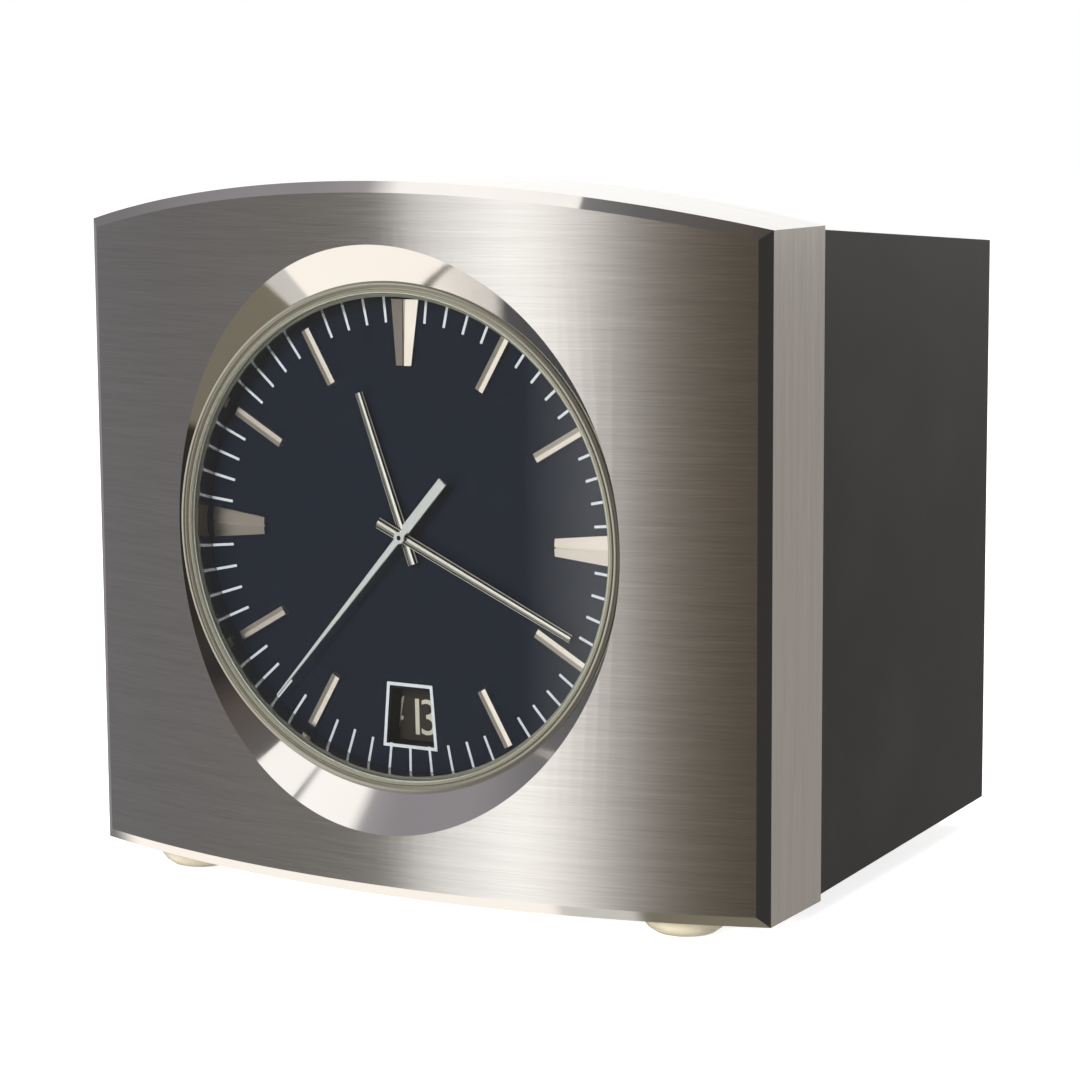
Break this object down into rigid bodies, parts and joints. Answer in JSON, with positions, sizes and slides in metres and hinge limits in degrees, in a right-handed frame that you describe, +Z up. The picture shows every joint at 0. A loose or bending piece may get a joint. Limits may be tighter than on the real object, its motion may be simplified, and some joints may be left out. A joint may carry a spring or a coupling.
{
  "type": "desk clock",
  "caption": "Desk clock with a bowed brushed-steel front block, a recessed round dark dial with hour markers, hands and date window, and a dark tapered rear case on soft feet.",
  "frame": {"origin": "on the surface that the feet stand on, below the middle of the clock's width and depth", "axes": "+Z up, +X to the right as seen from the front, -Y towards the viewer, so the dial faces -Y"},
  "size_m": [0.1, 0.0822, 0.0926],
  "materials": {
    "block_steel": "brushed",
    "ring_steel": "turned satin",
    "gasket_grey": "moulded",
    "crystal_glass": "polished",
    "flange_black": "glossy",
    "dial_navy": "satin lacquer",
    "marker_silver": "diamond-cut facets",
    "hand_silver": "polished facets",
    "seconds_paint": "matte paint",
    "date_paint": "matte paint",
    "movement_brass": "brushed",
    "movement_steel": "turned",
    "screw_steel": "zinc plated",
    "spacer_plastic": "moulded",
    "rotor_magnet": "ground",
    "motor_iron": "drawn and plated",
    "coil_copper": "enamelled wire",
    "board_laminate": "laminate",
    "quartz_metal": "drawn can",
    "chip_black": "moulded",
    "trimmer_ceramic": "fired",
    "case_anthracite": "satin, lightly scuffed",
    "cover_black": "fine grain",
    "contact_nickel": "nickel plated",
    "cell_sleeve": "plain foil sleeve",
    "lead_insulation": "extruded",
    "knob_black": "moulded",
    "foot_cream": "soft translucent"
  },
  "bodies": {
    "case": {"front_block": "block_steel", "crystal_ring": "ring_steel", "crystal_gasket": "gasket_grey", "crystal": "crystal_glass", "dial_flange": "flange_black", "dial": "dial_navy", "wedge_markers": "marker_silver", "baton_markers": "marker_silver", "date_jumper": "movement_steel", "spacer_ring": "spacer_plastic", "main_plate": "movement_brass", "plate_pillars": "movement_steel", "back_plate": "movement_brass", "plate_screws": "screw_steel", "motor_can": "motor_iron", "motor_coil": "coil_copper", "movement_holder": "spacer_plastic", "movement_clamps": "movement_steel", "clamp_screws": "screw_steel", "circuit_board": "board_laminate", "board_screws": "screw_steel", "quartz_can": "quartz_metal", "driver_chip": "chip_black", "trimmer": "trimmer_ceramic", "rear_case": "case_anthracite", "case_screws": "screw_steel", "back_cover": "cover_black", "cover_screws": "screw_steel", "battery_tray": "cover_black", "battery_contacts": "contact_nickel", "battery": "cell_sleeve", "battery_leads": "lead_insulation", "feet": "foot_cream"},
    "seconds_works": {"seconds_arbor": "movement_steel", "motor_rotor": "rotor_magnet", "seconds_hand": "seconds_paint"},
    "third_wheel": {"third_wheel": "movement_brass"},
    "minute_works": {"centre_wheel": "movement_brass", "cannon_pinion": "movement_steel", "minute_hand": "hand_silver"},
    "minute_wheel": {"minute_wheel": "movement_brass"},
    "hour_works": {"hour_wheel": "movement_brass", "hour_hand": "hand_silver"},
    "date_wheel": {"date_wheel": "movement_brass"},
    "date_ring": {"date_ring": "date_paint"},
    "setting": {"setting_stem": "movement_steel", "setting_knob": "knob_black"},
    "hatch": {"battery_hatch": "cover_black"}
  },
  "joints": [
    {"name": "seconds_turn", "type": "hinge", "parent": "case", "child": "seconds_works", "pos_m": [0, 0, 0.0478], "axis": [0, 1, 0], "continuous": true},
    {"name": "third_turn", "type": "hinge", "parent": "case", "child": "third_wheel", "pos_m": [0, 0, 0.0578], "axis": [0, 1, 0], "continuous": true},
    {"name": "minute_turn", "type": "hinge", "parent": "case", "child": "minute_works", "pos_m": [0, 0, 0.0478], "axis": [0, 1, 0], "continuous": true},
    {"name": "minute_wheel_turn", "type": "hinge", "parent": "case", "child": "minute_wheel", "pos_m": [0.006, 0, 0.0478], "axis": [0, 1, 0], "continuous": true},
    {"name": "hour_turn", "type": "hinge", "parent": "case", "child": "hour_works", "pos_m": [0, 0, 0.0478], "axis": [0, 1, 0], "continuous": true},
    {"name": "date_wheel_turn", "type": "hinge", "parent": "case", "child": "date_wheel", "pos_m": [-0.012, 0, 0.0478], "axis": [0, 1, 0], "continuous": true},
    {"name": "setting_turn", "type": "hinge", "parent": "case", "child": "setting", "pos_m": [0.012, 0, 0.0478], "axis": [0, 1, 0], "continuous": true},
    {"name": "date_ring_turn", "type": "hinge", "parent": "case", "child": "date_ring", "pos_m": [0, 0, 0.0478], "axis": [0, 1, 0], "continuous": true},
    {"name": "hatch_swing", "type": "hinge", "parent": "case", "child": "hatch", "pos_m": [0, 0.03585, 0.02085], "axis": [-1, 0, 0], "range_deg": [0, 90]}
  ],
  "couplings": [
    {"joint": "third_turn", "follows": "seconds_turn", "ratio": -0.125},
    {"joint": "minute_turn", "follows": "seconds_turn", "ratio": 0.016667},
    {"joint": "minute_wheel_turn", "follows": "seconds_turn", "ratio": -0.0055556},
    {"joint": "hour_turn", "follows": "seconds_turn", "ratio": 0.0013889},
    {"joint": "date_wheel_turn", "follows": "seconds_turn", "ratio": -0.00069444},
    {"joint": "setting_turn", "follows": "seconds_turn", "ratio": 0.016667}
  ]
}
